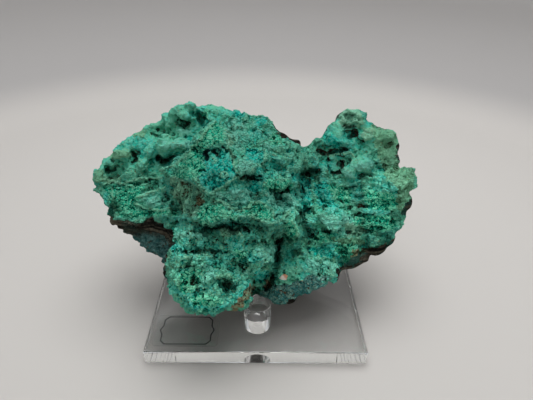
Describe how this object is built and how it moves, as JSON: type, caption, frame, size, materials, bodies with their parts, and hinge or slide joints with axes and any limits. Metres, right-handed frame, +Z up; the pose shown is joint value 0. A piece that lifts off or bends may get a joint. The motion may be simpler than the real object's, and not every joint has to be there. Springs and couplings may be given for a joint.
{
  "type": "mineral specimen on stand",
  "caption": "Rough chrysocolla specimen with a crusted blue-green face, two wings and a knob, held up by one clear rod on a square clear plate.",
  "frame": {"origin": "centre of the square plate's underside", "axes": "+Z up, -Y towards the side that the stone's crusted face looks at, +X to the right seen from that side"},
  "size_m": [0.1513, 0.1069, 0.0987],
  "materials": {
    "chrysocolla": "rough crusted blue-green copper mineral with dark pits, pale ridges, green grains and brown rock on its broken sides",
    "clear_acrylic": "clear polished acrylic",
    "label_film": "clear label film with a thin dark frame line and no lettering"
  },
  "bodies": {
    "root": {"chrysocolla_stone": "chrysocolla", "support_rod": "clear_acrylic", "base_plate": "clear_acrylic", "label_film": "label_film"}
  },
  "joints": []
}
